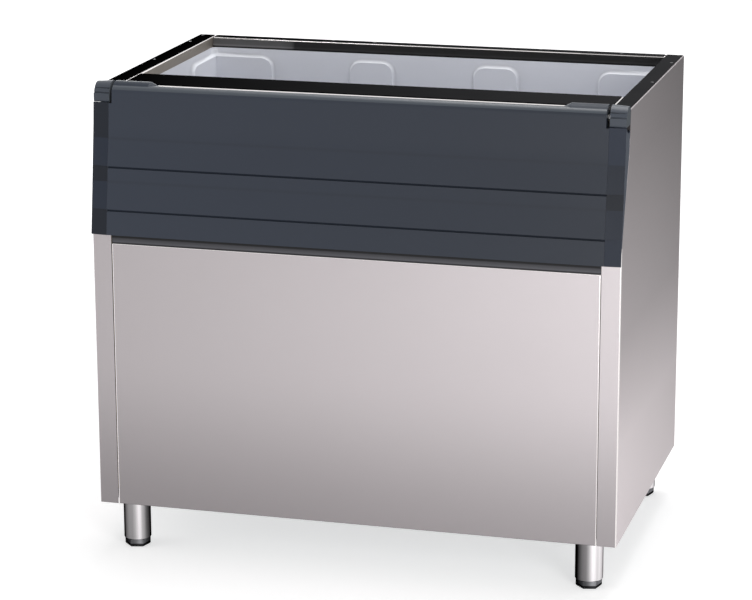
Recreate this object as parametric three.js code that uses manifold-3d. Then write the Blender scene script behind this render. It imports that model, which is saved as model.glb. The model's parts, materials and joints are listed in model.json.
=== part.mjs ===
import * as THREE from "three";
import { mergeVertices } from "three/addons/utils/BufferGeometryUtils.js";
import Module from "manifold-3d";

const wasm = await Module();
wasm.setup();

// Ice bin, millimetres. X runs across, Y from the front face of the casing to the rear, Z up from the
// lower edge of the casing. The outer group at the end moves this frame to the middle of the footprint
// and to the floor. Heights in the upper half are drops below the rim, so the door follows the rim.

// Casing
const caseWidth = 1250;
const caseDepth = 790;
const caseHeight = 1000;
const sheet = 1.2;
const gap = 0.3;
const touch = 0.1;
const postWidth = 45;
const postNotchDrop = 51;
const railWidth = 43;
const rearRail = 27;
const skirtDepth = 26;
const skirtShort = 3;
const rearFlange = 25;
const footReturn = 10;
const panelReturn = 20;
const panelSeam = 1;
const frontPanelDrop = 361.5;
const baseLift = 6;
const baseSheet = 1.5;
const baseFlange = 25;
const baseClear = 0.5;

// Front edge of the side panels: upright, then slanting back behind the door
const seatFootDrop = 305;
const seatKneeDrop = 91;
const seatKneeBack = 70.5;
const seatTopBack = 79;

// Rim
const railFront = 97;
const railDepth = 122;
const railLip = 50;
const railReturn = 25;
const tape = 1.2;
const bareEdge = 3;
const bareFront = 1.4;
const bareEnd = 4;
const bareRearInside = 1;
const bareRearOutside = 2;
const screwHead = 4.5;
const screwHeadTop = 3.6;
const screwRadius = 2;
const screwLong = 8;
const screwFromSide = 12;
const sideScrewsFromRear = [379, 114, 13];
const rearScrewFromRear = 14;
const rearScrewsAcross = [-265, -157, 270, 472];

// Tank
const skin = 3.5;
const tankFront = 62;
const tankFloor = 60;
const tankCorner = 16;
const tankFillet = 14;
const throatDrop = 262;
const throatRun = 60;
const ribDepth = 12;
const ribDraft = 8;
const ribRound = 35;
const ribDrop = 39;
const ribInner = 97.5;
const ribOuter = 222.5;
const cornerRibWidth = 168;
const cornerRibRun = 190;
const sillThick = 2.5;
const sillBehind = 0.8;
const sillLipDown = 18;
const sillLipIn = 35;
const foamClear = 1.2;

// Door
const doorProud = 12;
const doorFootDrop = 339;
const browDrop = 85;
const faceSlope = 0.13;
const browSlope = 0.084;
const lap = 3;
const lapDrops = [278.9, 179.2];
const lapRise = 60;
const endLapRise = 64;
const grooveHigh = 5;
const grooveDeep = 3.5;
const doorSkin = 5;
const roofSkin = 3.5;
const shoulder = 18.5;
const shoulderDrop = 12.1;
const roofFall = THREE.MathUtils.degToRad(12);
const roofShort = 0.5;
const seatClear = 2;
const lipThick = 4;
const lipRise = 26.5;
const stepRise = 48;
const panelThick = 3;
const panelTopClear = 1.5;
const doorWall = 3;
const foamSkin = 0.6;
const foamTopDrop = 12;
const endWidth = 38;
const endRecess = 2.6;
const endLipExtra = 1.8;
const endRoomDrop = 45;
const endRoomRise = 16;
const bufferRise = 30;
const bufferRadius = 7;
const bufferStud = 3;

// Hinge
const axisBack = 59;
const axisDrop = 17;
const knuckleRadius = 30;
const knuckleWall = 4;
const knuckleFlat = 84.5;
const knuckleRun = 32;
const knuckleSolid = 26;
const knuckleLow = 14;
const capReach = 32.3;
const endReach = 32.8;
const capGap = 7.5;
const capFall = 2.5;
const capShort = 0.5;
const capBottomDrop = 33;
const capEndGap = 0.4;
const capFront = 29.3;
const capBlockRise = 4;
const capLineDrops = [1, 11.3];
const capLineWide = 2.4;
const capLineDeep = 1.5;
const pinRadius = 5;
const pinIn = 21;
const pinOut = 25;
const bushRadius = 8;
const bushLength = 24;

// Legs
const legHeight = 117;
const legFromSide = 72;
const legFromEnd = 54;
const legRadius = 32.7;
const legWall = 2;
const legCap = 3;
const tubeRise = 0.2;
const tubeEnd = 21;
const plateRadius = 40;
const bossRadius = 15;
const bossLow = 30;
const insertLong = 20;
const insertNeck = 5;
const footHex = 30.5;
const footTurn = THREE.MathUtils.degToRad(-15.4);
const footTop = 19;
const padHigh = 3;
const padChamfer = 2.4;
const stemRadius = 8;
const stemBelowBoss = 10;

// Drain
const drainFromRear = 100;
const drainFlange = 30;
const drainFlangeThick = 4;
const drainRadius = 13.5;
const drainBore = 10;
const drainDrop = 45;
const drainRoom = 3.5;
const locknutRadius = 23;
const locknutHigh = 9;
const strainerThick = 1.9;
const strainerHole = 2.5;
const strainerRings = [[9.5, 6], [19, 12]];

// How far a cutting tool runs past the face that it opens
const past = 1;

const half = caseWidth / 2;
const railInner = half - railWidth;
const postInner = half - postWidth;
const rearInner = caseDepth - rearRail;
const axisZ = caseHeight - axisDrop;
const tapeUnder = caseHeight + gap;
const rimTop = tapeUnder + tape;
const drainBack = caseDepth - drainFromRear;
const sides = { left: -1, right: 1 };

// Materials

const metal = (color, roughness) => new THREE.MeshStandardMaterial({ color, roughness, metalness: 1 });
const plastic = (color, roughness) => new THREE.MeshStandardMaterial({ color, roughness, metalness: 0 });
const brushedSteel = () => metal(0xc8c4c6, 0.38);
const galvanisedSteel = () => metal(0x9fa3a6, 0.55);
const zincSteel = () => metal(0xa6a8aa, 0.5);
const legSteel = () => metal(0xbdbabc, 0.22);
const screwSteel = () => metal(0xb4b2b3, 0.35);
const pinSteel = () => metal(0xadafb1, 0.3);
const rimTape = () => plastic(0x141416, 0.8);
const tankPlastic = () => plastic(0xa3a6ad, 0.42);
const sillPlastic = () => plastic(0x33363b, 0.5);
const insulation = () => plastic(0xe3d6a4, 0.9);
const doorPlastic = () => plastic(0x3d4148, 0.45);
const doorEndPlastic = () => plastic(0x34373e, 0.5);
const capPlastic = () => plastic(0x464a50, 0.42);
const bushPlastic = () => plastic(0xdedbd2, 0.4);
const bufferRubber = () => plastic(0x161616, 0.85);
const footPlastic = () => plastic(0x0c0c0d, 0.5);
const drainPlastic = () => plastic(0x1b1c1e, 0.45);
const strainerPlastic = () => plastic(0xb6b9be, 0.4);

// Basic solids

const round = 40;
const fine = 56;
const coarse = 16;

function toSolid(geometry) {
  const bare = geometry.clone();
  bare.deleteAttribute("normal");
  bare.deleteAttribute("uv");
  const welded = mergeVertices(bare, 1e-4);
  return new wasm.Manifold(
    new wasm.Mesh({
      numProp: 3,
      vertProperties: new Float32Array(welded.attributes.position.array),
      triVerts: new Uint32Array(welded.index.array),
    }),
  );
}

function toGeometry(solid) {
  const mesh = solid.getMesh();
  const geometry = new THREE.BufferGeometry();
  geometry.setAttribute("position", new THREE.BufferAttribute(new Float32Array(mesh.vertProperties), 3));
  geometry.setIndex(new THREE.BufferAttribute(new Uint32Array(mesh.triVerts), 1));
  geometry.computeVertexNormals();
  return geometry;
}

const axisX = new THREE.Vector3(1, 0, 0);
const axisY = new THREE.Vector3(0, 1, 0);
const axisUp = new THREE.Vector3(0, 0, 1);
const alongX = new THREE.Matrix4().makeBasis(axisY, axisUp, axisX);
const alongFront = new THREE.Matrix4().makeBasis(axisX, axisUp, axisY.clone().negate());

// Body between two outlines of equal count, standing in two parallel planes of the frame
function loft(first, firstAt, second, secondAt, frame) {
  const flip = THREE.ShapeUtils.area(first.map(([u, v]) => new THREE.Vector2(u, v))) < 0;
  const low = flip ? [...first].reverse() : first;
  const high = flip ? [...second].reverse() : second;
  const count = low.length;
  const points = [...low.map(([u, v]) => [u, v, firstAt]), ...high.map(([u, v]) => [u, v, secondAt])];
  const index = [];
  for (const [outline, start, facing] of [[low, 0, -1], [high, count, 1]]) {
    const contour = outline.map(([u, v]) => new THREE.Vector2(u, v));
    for (const [a, b, c] of THREE.ShapeUtils.triangulateShape(contour, [])) {
      index.push(start + a, start + (facing > 0 ? b : c), start + (facing > 0 ? c : b));
    }
  }
  for (let i = 0; i < count; i += 1) {
    const next = (i + 1) % count;
    index.push(i, next, count + next, i, count + next, count + i);
  }
  const geometry = new THREE.BufferGeometry();
  geometry.setAttribute("position", new THREE.Float32BufferAttribute(points.flat(), 3));
  geometry.setIndex(index);
  geometry.applyMatrix4(frame);
  return toSolid(geometry);
}

const prismX = (outline, x0, x1) => loft(outline, Math.min(x0, x1), outline, Math.max(x0, x1), alongX);

function box(x0, x1, y0, y1, z0, z1) {
  const geometry = new THREE.BoxGeometry(Math.abs(x1 - x0), Math.abs(y1 - y0), Math.abs(z1 - z0));
  geometry.translate((x0 + x1) / 2, (y0 + y1) / 2, (z0 + z1) / 2);
  return toSolid(geometry);
}

function coneX(r0, r1, x0, x1, y = 0, z = 0) {
  const [from, to, atFrom, atTo] = x0 < x1 ? [x0, x1, r0, r1] : [x1, x0, r1, r0];
  const geometry = new THREE.CylinderGeometry(atTo, atFrom, to - from, round);
  geometry.rotateZ(-Math.PI / 2);
  geometry.translate((from + to) / 2, y, z);
  return toSolid(geometry);
}

function coneZ(r0, r1, z0, z1, segments = round, x = 0, y = 0) {
  const geometry = new THREE.CylinderGeometry(r1, r0, z1 - z0, segments);
  geometry.rotateX(Math.PI / 2);
  geometry.translate(x, y, (z0 + z1) / 2);
  return toSolid(geometry);
}

const cylinderX = (radius, x0, x1) => coneX(radius, radius, x0, x1);
const cylinderZ = (radius, z0, z1, segments, x, y) => coneZ(radius, radius, z0, z1, segments, x, y);
const aroundHinge = (radius, x0, x1) => coneX(radius, radius, x0, x1, axisBack, axisZ);

const join = (...solids) => solids.reduce((sum, solid) => sum.add(solid));
const cut = (solid, ...tools) => tools.reduce((left, tool) => left.subtract(tool), solid);
const both = (make) => join(make(-1), make(1));

// Outlines

// Open path moved sideways, to its right where the distance is positive, with mitred corners
function offsetPath(path, distance) {
  const normals = path.slice(1).map(([u, v], i) => {
    const run = new THREE.Vector2(u - path[i][0], v - path[i][1]).normalize();
    return new THREE.Vector2(run.y, -run.x);
  });
  return path.map(([u, v], i) => {
    const before = normals[Math.max(i - 1, 0)];
    const after = normals[Math.min(i, normals.length - 1)];
    const scale = distance / (1 + before.dot(after));
    return [u + (before.x + after.x) * scale, v + (before.y + after.y) * scale];
  });
}

const band = (path, thickness) => [...path, ...offsetPath(path, thickness).reverse()];

function arc(centre, radius, from, to, steps) {
  return Array.from({ length: steps + 1 }, (_, i) => {
    const angle = from + ((to - from) * i) / steps;
    return [centre[0] + radius * Math.cos(angle), centre[1] + radius * Math.sin(angle)];
  });
}

function roundedRectangle(x0, x1, y0, y1, radius, steps = 6) {
  const quarter = Math.PI / 2;
  return [
    ...arc([x1 - radius, y0 + radius], radius, -quarter, 0, steps),
    ...arc([x1 - radius, y1 - radius], radius, 0, quarter, steps),
    ...arc([x0 + radius, y1 - radius], radius, quarter, 2 * quarter, steps),
    ...arc([x0 + radius, y0 + radius], radius, 2 * quarter, 3 * quarter, steps),
  ];
}

// Front edge of the side panels, where the door rests

const seatFoot = caseHeight - seatFootDrop;
const seatKnee = caseHeight - seatKneeDrop;
const seatPath = [[0, 0], [0, seatFoot], [seatKneeBack, seatKnee], [seatTopBack, caseHeight]];
const seatSlope = seatKneeBack / (seatKnee - seatFoot);
const seatUpperSlope = (seatTopBack - seatKneeBack) / seatKneeDrop;

// Depth of the seat at a height, moved forward by a distance square to it
function seatAt(z, forward = 0) {
  const slope = z < seatKnee ? seatSlope : seatUpperSlope;
  return seatKneeBack + (z - seatKnee) * slope - forward * Math.hypot(1, slope);
}

// Front face of the door

const doorFoot = caseHeight - doorFootDrop;
const brow = caseHeight - browDrop;
const faceAt = (z) =>
  -doorProud + faceSlope * (Math.min(z, brow) - doorFoot) + browSlope * Math.max(z - brow, 0);

// Lapped face from the lip up to a height, with a shadow groove below each lap if wanted
function facePath(rise, groove, top) {
  const path = [[faceAt(doorFoot), doorFoot]];
  for (const drop of lapDrops) {
    const z = caseHeight - drop;
    if (groove) {
      path.push([faceAt(z - grooveHigh), z - grooveHigh]);
      path.push([faceAt(z - grooveHigh) + grooveDeep, z - grooveHigh], [faceAt(z) + grooveDeep, z]);
    } else {
      path.push([faceAt(z), z]);
    }
    path.push([faceAt(z) - lap, z], [faceAt(z + rise), z + rise]);
  }
  path.push([faceAt(brow), brow], [faceAt(top), top]);
  return path;
}

// Groups

const casing = new THREE.Group();
const tank = new THREE.Group();
const drain = new THREE.Group();
drain.position.set(0, drainBack, 0);
const doorPivot = new THREE.Group();
doorPivot.position.set(0, axisBack, axisZ);
const door = new THREE.Group();
door.position.set(0, -axisBack, -axisZ);
doorPivot.add(door);

function addPiece(group, name, solid, material, x = 0, y = 0, z = 0, turn = 0) {
  const mesh = new THREE.Mesh(toGeometry(solid), material);
  mesh.name = name;
  mesh.position.set(x, y, z);
  mesh.rotation.z = turn;
  group.add(mesh);
}

// Rim screws, each passing through the tape into the sheet below

function screwPlaces() {
  const places = {};
  for (const [name, side] of Object.entries(sides)) {
    sideScrewsFromRear.forEach((fromRear, i) => {
      places[`rim_screw_${name}_${i + 1}`] = [side * (half - screwFromSide), caseDepth - fromRear];
    });
  }
  rearScrewsAcross.forEach((x, i) => {
    places[`rim_screw_rear_${i + 1}`] = [x, caseDepth - rearScrewFromRear];
  });
  return places;
}

const rimScrews = screwPlaces();
const rimHoles = (radius) =>
  join(...Object.values(rimScrews).map(([x, y]) =>
    cylinderZ(radius, caseHeight - 2 * screwLong, rimTop + past, coarse, x, y)));
const screwHoles = rimHoles(screwRadius + gap);
const headHoles = rimHoles(screwHead + gap);

const rimScrew = () =>
  join(
    coneZ(screwHead, screwHeadTop, touch / 2, rimTop - caseHeight - touch, coarse),
    cylinderZ(screwRadius, -screwLong, tape / 2, coarse),
  );

for (const [name, [x, y]] of Object.entries(rimScrews)) {
  addPiece(casing, name, rimScrew(), screwSteel(), x, y, caseHeight);
}

// Buffers that the shut door rests on, each with a stud through the slanted part of the post

// Round rod square to the slanted seat, from a depth behind the seat to a height before it
function bufferRod(side, radius, behind, ahead) {
  const geometry = new THREE.CylinderGeometry(radius, radius, ahead + behind, coarse);
  geometry.translate(0, (ahead - behind) / 2, 0);
  const lean = Math.atan(seatSlope);
  const outward = new THREE.Vector3(0, -Math.cos(lean), Math.sin(lean));
  geometry.applyQuaternion(new THREE.Quaternion().setFromUnitVectors(axisY, outward));
  const z = seatFoot + bufferRise;
  geometry.translate(side * (half - endWidth / 2), seatAt(z), z);
  return toSolid(geometry);
}

const bufferHead = seatClear - gap;
const doorBuffer = (side) =>
  join(
    bufferRod(side, bufferRadius, -touch, bufferHead),
    bufferRod(side, screwRadius, bufferStud, bufferHead / 2),
  );

for (const [name, side] of Object.entries(sides)) {
  addPiece(casing, `door_buffer_${name}`, doorBuffer(side), bufferRubber());
}

// Side panels: outer wall, folded front post, rim with an inward skirt, rear and bottom returns

const postNotch = (side) =>
  box(side * (postInner - past), side * (railInner + sheet + past), 0, railFront,
    caseHeight - postNotchDrop, rimTop + past);

function sidePanel(side) {
  const across = (x) => side * x;
  const wallOutline = [...seatPath, [caseDepth, caseHeight], [caseDepth, 0]];
  return cut(
    join(
      prismX(wallOutline, across(half - sheet), across(half)),
      prismX(band(seatPath, sheet), across(postInner), across(half)),
      box(across(railInner), across(half), seatTopBack, caseDepth, caseHeight - sheet, caseHeight),
      box(across(railInner), across(railInner + sheet), railFront, caseDepth - skirtShort,
        caseHeight - skirtDepth, caseHeight),
      box(across(half - rearFlange), across(half), caseDepth - sheet, caseDepth, 0, caseHeight),
      box(across(half - footReturn), across(half), 0, caseDepth, 0, sheet),
    ),
    postNotch(side),
    screwHoles,
    bufferRod(side, screwRadius + gap, bufferStud + past, bufferStud + past),
  );
}

for (const [name, side] of Object.entries(sides)) {
  addPiece(casing, `${name}_side_panel`, sidePanel(side), brushedSteel());
}

// Front panel with returns behind its edges

const panelHalf = postInner - panelSeam;
const frontTop = caseHeight - frontPanelDrop;

const frontPanel = () =>
  join(
    box(-panelHalf, panelHalf, 0, sheet, 0, frontTop),
    both((side) => box(side * (panelHalf - sheet), side * panelHalf, 0, panelReturn, 0, frontTop)),
    box(-panelHalf, panelHalf, 0, panelReturn, frontTop - sheet, frontTop),
    box(-panelHalf, panelHalf, 0, footReturn, 0, sheet),
  );

addPiece(casing, "front_panel", frontPanel(), brushedSteel());

// Rear panel, with the rear side of the rim folded from it

const railHalf = railInner - gap;
const rearHalf = half - sheet - gap;
const rearFace = caseDepth - sheet - gap;
const returnHalf = half - footReturn - panelSeam;

const rearPanel = () =>
  cut(
    join(
      box(-rearHalf, rearHalf, rearFace - sheet, rearFace, sheet + gap, caseHeight - sheet - gap),
      box(-returnHalf, returnHalf, rearFace - sheet, rearFace, 0, panelReturn),
      box(-railHalf, railHalf, rearInner, rearFace, caseHeight - sheet, caseHeight),
      box(-railHalf, railHalf, rearFace - sheet, rearFace, caseHeight - skirtDepth, caseHeight),
      box(-railHalf, railHalf, rearInner, rearInner + sheet, caseHeight - skirtDepth, caseHeight),
      box(-returnHalf, returnHalf, rearFace - footReturn, rearFace, 0, sheet),
    ),
    screwHoles,
  );

addPiece(casing, "rear_panel", rearPanel(), brushedSteel());

// Base panel, a tray with its flanges turned up and a hole for the drain

const baseFront = panelReturn + baseClear;
const baseRear = rearFace - sheet - gap;
const baseTop = baseLift + baseFlange;
const drainHole = (radius, z0, z1) => cylinderZ(radius, z0, z1, round, 0, drainBack);

const basePanel = () =>
  cut(
    box(-rearHalf, rearHalf, baseFront, baseRear, baseLift, baseTop),
    box(-rearHalf + baseSheet, rearHalf - baseSheet, baseFront + baseSheet, baseRear - baseSheet,
      baseLift + baseSheet, baseTop + past),
    drainHole(drainRadius + drainRoom, 0, baseTop),
  );

addPiece(casing, "base_panel", basePanel(), galvanisedSteel());

// Front rail, a folded channel across the top behind the door

const railBack = railFront + railDepth;
const railLow = caseHeight - railLip;

const frontRail = () =>
  join(
    box(-railHalf, railHalf, railFront, railBack, caseHeight - sheet, caseHeight),
    box(-railHalf, railHalf, railFront, railFront + sheet, railLow, caseHeight),
    box(-railHalf, railHalf, railFront, railFront + railReturn, railLow, railLow + sheet),
    box(-railHalf, railHalf, railBack - sheet, railBack, caseHeight - skirtDepth, caseHeight),
  );

addPiece(casing, "front_rail", frontRail(), brushedSteel());

// Tapes on the rim, leaving its folded edges bare

const tapeInner = railInner + bareEdge / 2;
const tapeHalf = railHalf - bareEnd;

const sideTape = (side) =>
  cut(
    box(side * tapeInner, side * (half - bareEdge), seatTopBack + bareEdge, caseDepth - bareEdge,
      tapeUnder, rimTop),
    postNotch(side),
    headHoles,
  );

const frontTape = () => box(-tapeHalf, tapeHalf, railFront + bareFront, railBack, tapeUnder, rimTop);

const rearTape = () =>
  cut(
    box(-tapeHalf, tapeHalf, rearInner + bareRearInside, rearFace - bareRearOutside, tapeUnder, rimTop),
    headHoles,
  );

for (const [name, side] of Object.entries(sides)) {
  addPiece(casing, `rim_seal_${name}`, sideTape(side), rimTape());
}
addPiece(casing, "rim_seal_front", frontTape(), rimTape());
addPiece(casing, "rim_seal_rear", rearTape(), rimTape());

// Tank: a moulded skin, open above and in front above the throat, with raised panels in its walls

const tankTop = caseHeight - skirtDepth - gap;
const throat = caseHeight - throatDrop;
const throatBack = tankFront + throatRun;
const throatHalf = railInner + skin;

// Rounded box of the tank's inner face, moved outward by a distance and cut off at a height
function tankBody(grow, top) {
  const reach = railInner + grow;
  const outline = roundedRectangle(-reach, reach, tankFront - grow, rearInner + grow, tankCorner + grow);
  const shape = new THREE.Shape(outline.map(([x, y]) => new THREE.Vector2(x, y)));
  const floor = tankFloor - grow;
  const fillet = tankFillet + grow;
  const geometry = new THREE.ExtrudeGeometry(shape, {
    depth: top - floor,
    bevelThickness: fillet,
    bevelSize: fillet,
    bevelOffset: -fillet,
    bevelSegments: 5,
  });
  geometry.translate(0, 0, floor + fillet);
  return cut(toSolid(geometry), box(-caseWidth, caseWidth, -caseDepth, 2 * caseDepth, top, 2 * caseHeight));
}

// Outline of a raised panel with round upper corners, drawn in by a margin
function ribOutline(a0, a1, margin) {
  const radius = ribRound - margin;
  const foot = tankFloor - ribRound;
  const top = caseHeight - ribDrop - margin;
  return [
    [a0 + margin, foot],
    [a1 - margin, foot],
    ...arc([a1 - margin - radius, top - radius], radius, 0, Math.PI / 2, 5),
    ...arc([a0 + margin + radius, top - radius], radius, Math.PI / 2, Math.PI, 5),
  ];
}

// Raised panels: two in the rear wall, and one round each rear corner
function ribs(behind) {
  const wallMargin = behind - (past * ribDraft) / ribDepth;
  const faceMargin = behind + ribDraft;
  const beyondCorner = tankCorner + 2 * ribRound;
  const rearWall = rearInner + behind + past;
  const sideWall = railInner + behind + past;
  const onRear = (a0, a1) =>
    loft(ribOutline(a0, a1, wallMargin), -rearWall,
      ribOutline(a0, a1, faceMargin), -(rearInner - ribDepth + behind), alongFront);
  const run = [rearInner - cornerRibRun, rearInner + beyondCorner];
  const wall = ribOutline(...run, wallMargin);
  const face = ribOutline(...run, faceMargin);
  const faceAcross = railInner - ribDepth + behind;
  const from = railInner - cornerRibWidth;
  const to = railInner + beyondCorner;
  return join(
    onRear(-ribOuter, -ribInner),
    onRear(ribInner, ribOuter),
    onRear(-to, -from),
    onRear(from, to),
    loft(wall, -sideWall, face, -faceAcross, alongX),
    loft(face, faceAcross, wall, sideWall, alongX),
  );
}

// Cheeks of the throat, which follow the slanted front edge of the casing
function throatCheeks() {
  const behind = -(sheet + gap);
  const outline = [
    [seatAt(throat, behind), throat],
    [throatBack, throat],
    [throatBack, tankTop],
    [seatAt(tankTop, behind), tankTop],
    [seatAt(seatKnee, behind), seatKnee],
  ];
  return prismX(outline, -throatHalf, throatHalf);
}

const cheekRoom = () =>
  box(-throatHalf - past, throatHalf + past, -doorProud, throatBack - past, throat + past, caseHeight);

const liner = () =>
  cut(
    join(cut(tankBody(skin, tankTop), ribs(skin), cheekRoom()), throatCheeks()),
    cut(tankBody(0, caseHeight), ribs(0)),
    box(-railInner, railInner, -doorProud, throatBack + tankCorner, throat, caseHeight),
    box(-throatHalf - past, throatHalf + past, 0, railFront, caseHeight - postNotchDrop, caseHeight),
    drainHole(drainRadius + gap, 0, tankFloor + past),
  );

addPiece(tank, "liner", liner(), tankPlastic());

// Sill closing the way from the front panel over the tank's front wall

function doorSill() {
  const front = sheet + sillBehind;
  const shelf = throat + gap + sillThick;
  const rear = tankFront + gap + sillThick;
  const path = [
    [front, frontTop + gap],
    [front, seatFoot + front / seatSlope],
    [seatAt(shelf), shelf],
    [rear, shelf],
  ];
  const across = panelHalf - gap;
  const lipHalf = railInner - sillLipIn;
  return join(
    prismX(band(path, sillThick), -across, across),
    box(-lipHalf, lipHalf, rear - sillThick, rear, throat - sillLipDown, shelf - sillThick / 2),
  );
}

addPiece(tank, "door_sill", doorSill(), sillPlastic());

// Insulation between the tank and the casing

function casingFoam() {
  const front = baseFront + baseSheet + gap;
  const back = baseRear - baseSheet - gap;
  const foot = baseLift + baseSheet + gap;
  const top = tankTop - foamClear;
  const behind = -(sheet + foamClear);
  const outline = [
    [front, foot],
    [back, foot],
    [back, top],
    [seatAt(top, behind), top],
    [seatAt(seatKnee, behind), seatKnee],
    [front, seatKnee - (seatAt(seatKnee, behind) - front) / seatSlope],
  ];
  const across = rearHalf - baseSheet - gap;
  const panelRoom = panelHalf - sheet - gap;
  const throatRoom = throatHalf + gap;
  return cut(
    join(
      prismX(outline, -across, across),
      box(-panelRoom, panelRoom, sheet + gap, front + past, baseTop + gap, frontTop - sheet - gap),
    ),
    tankBody(skin + gap, caseHeight),
    box(-throatRoom, throatRoom, -doorProud, throatBack + tankCorner, throat - sillThick, caseHeight),
    drainHole(drainRadius + drainRoom, 0, tankFloor),
  );
}

addPiece(tank, "foam_insulation", casingFoam(), insulation());

// Drain through the floor, held by a locknut, with a strainer over it

const drainOutlet = () =>
  cut(
    join(
      cylinderZ(drainFlange, tankFloor + touch, tankFloor + drainFlangeThick),
      cylinderZ(drainRadius, -drainDrop, tankFloor + drainFlangeThick / 2),
    ),
    cylinderZ(drainBore, -drainDrop - past, tankFloor + drainFlangeThick + past),
  );

function drainLocknut() {
  const top = baseLift - gap;
  return cut(
    cylinderZ(locknutRadius, top - locknutHigh, top, 6),
    cylinderZ(drainRadius + gap, top - locknutHigh - past, top + past),
  );
}

function drainStrainer() {
  const low = tankFloor + drainFlangeThick + touch;
  const hole = (x, y) => cylinderZ(strainerHole, low - past, low + strainerThick + past, coarse, x, y);
  const holes = [hole(0, 0)];
  for (const [radius, count] of strainerRings) {
    holes.push(...arc([0, 0], radius, 0, 2 * Math.PI, count).slice(1).map(([x, y]) => hole(x, y)));
  }
  return cut(cylinderZ(drainFlange - strainerThick, low, low + strainerThick), ...holes);
}

addPiece(drain, "drain_outlet", drainOutlet(), drainPlastic());
addPiece(drain, "drain_locknut", drainLocknut(), drainPlastic());
addPiece(drain, "drain_strainer", drainStrainer(), strainerPlastic());

// Legs: a plate with a boss under the base, a tube, a threaded insert and the adjustable foot

const tubeTop = sheet + tubeRise;
const tubeFoot = -legHeight + tubeEnd;
const hexTop = -legHeight + footTop;
const stemTop = legHeight - bossLow - stemBelowBoss;

const legPlate = () =>
  join(
    cylinderZ(plateRadius, tubeTop + gap, baseLift - touch),
    cylinderZ(bossRadius, -bossLow, baseLift - past),
  );

const legTube = () =>
  cut(
    cylinderZ(legRadius, tubeFoot, tubeTop, fine),
    cylinderZ(legRadius - legWall, tubeFoot - past, tubeTop - legCap, fine),
    cylinderZ(bossRadius + gap, tubeFoot, tubeTop + past),
  );

const legInsert = () =>
  cut(
    join(
      cylinderZ(legRadius - legWall - gap, tubeFoot, tubeFoot + insertLong),
      cylinderZ(legRadius - insertNeck, hexTop + gap, tubeFoot + past),
    ),
    cylinderZ(stemRadius + gap, hexTop - past, tubeFoot + insertLong + past),
  );

// The foot stands upright in its own frame, with its lowest face at zero, and is turned as a whole
const legFoot = () =>
  join(cylinderZ(footHex, padHigh + touch, footTop, 6), cylinderZ(stemRadius, footTop - past, stemTop));

const legPad = () => coneZ(footHex - padChamfer, footHex, 0, padHigh, 6);

function leg(label, x, y) {
  const group = new THREE.Group();
  group.position.set(x, y, 0);
  addPiece(group, `leg_plate_${label}`, legPlate(), zincSteel());
  addPiece(group, `leg_tube_${label}`, legTube(), legSteel());
  addPiece(group, `leg_insert_${label}`, legInsert(), footPlastic());
  const foot = new THREE.Group();
  foot.position.set(0, 0, -legHeight);
  foot.rotation.z = footTurn;
  addPiece(foot, `leg_foot_${label}`, legFoot(), legSteel());
  addPiece(foot, `leg_pad_${label}`, legPad(), footPlastic());
  group.add(foot);
  return group;
}

const legs = new THREE.Group();
const legRows = { front: legFromEnd, rear: caseDepth - legFromEnd };
for (const [row, y] of Object.entries(legRows)) {
  for (const [name, side] of Object.entries(sides)) {
    legs.add(leg(`${row}_${name}`, side * (half - legFromSide), y));
  }
}

// Door shell: lapped face, shoulder, roof and lip in one skin, with an end wall and a knuckle each side

const endInner = half - endWidth;
const bodyEnd = endInner - gap;
const earEnd = endInner - capGap;
const lipTop = doorFoot + lipRise;
const shellStep = doorFoot + stepRise;
const roofEnd = seatAt(caseHeight, seatClear) - roofShort;
const slantAt = (z) => seatAt(z, seatClear);
const browLean = Math.atan(browSlope);
const shoulderZ = caseHeight - shoulderDrop;
const shoulderY = faceAt(shoulderZ + shoulder * Math.sin(browLean)) + shoulder * Math.cos(browLean);

// Shoulder and roof for a distance below the outer face
function crown(depth, end = roofEnd) {
  const turn = arc([shoulderY, shoulderZ], shoulder - depth, Math.PI - browLean, Math.PI / 2 - roofFall, 8);
  const [y, z] = turn.at(-1);
  return [...turn, [end, z - (end - y) * Math.tan(roofFall)]];
}

const doorBack = [[slantAt(shellStep), shellStep], [slantAt(seatKnee), seatKnee], crown(0).at(-1)];
const knuckleInner = earEnd - knuckleFlat;

const knuckle = (side, grow) =>
  join(
    aroundHinge(knuckleRadius + grow, side * (knuckleInner - gap - grow), side * earEnd),
    coneX(knuckleLow + grow, knuckleRadius + grow, side * (knuckleInner - knuckleRun),
      side * knuckleInner, axisBack, axisZ),
  );

function shellOutline() {
  const innerLow = [faceAt(shellStep) + doorSkin, shellStep];
  const innerHigh = [faceAt(brow) + doorSkin, brow];
  return [
    ...facePath(lapRise, true, brow),
    ...crown(0),
    ...crown(roofSkin).reverse(),
    innerHigh,
    innerLow,
    [slantAt(shellStep), shellStep],
    [slantAt(lipTop), lipTop],
    [faceAt(doorFoot) + lipThick, doorFoot],
  ];
}

function shellEndOutline() {
  const low = (lipTop + shellStep) / 2;
  const depth = grooveDeep + past;
  return [
    [faceAt(low) + depth, low],
    [faceAt(brow) + depth, brow],
    ...crown(roofSkin - past, roofEnd - gap),
    [seatAt(seatKnee, seatClear + gap), seatKnee],
    [seatAt(low, seatClear + gap), low],
  ];
}

// Hollow of the shell, kept clear of the knuckles
function shellRoom() {
  const low = shellStep + 2 * lipThick;
  const panelFace = offsetPath(doorBack, -(panelThick + gap));
  const outline = [
    [faceAt(low) + doorSkin - past, low],
    [faceAt(brow) + doorSkin - past, brow],
    ...crown(roofSkin - past, panelFace[2][0]),
    panelFace[1],
    [seatAt(low, seatClear + panelThick + gap), low],
  ];
  return prismX(outline, -(earEnd - knuckleSolid), earEnd - knuckleSolid);
}

// Room of the fixed hinge cap at each end
const capRoom = (side) =>
  box(side * earEnd, side * half, -doorProud, caseDepth / 4, caseHeight - capBottomDrop - seatClear,
    caseHeight + 2 * knuckleRadius);

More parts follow.
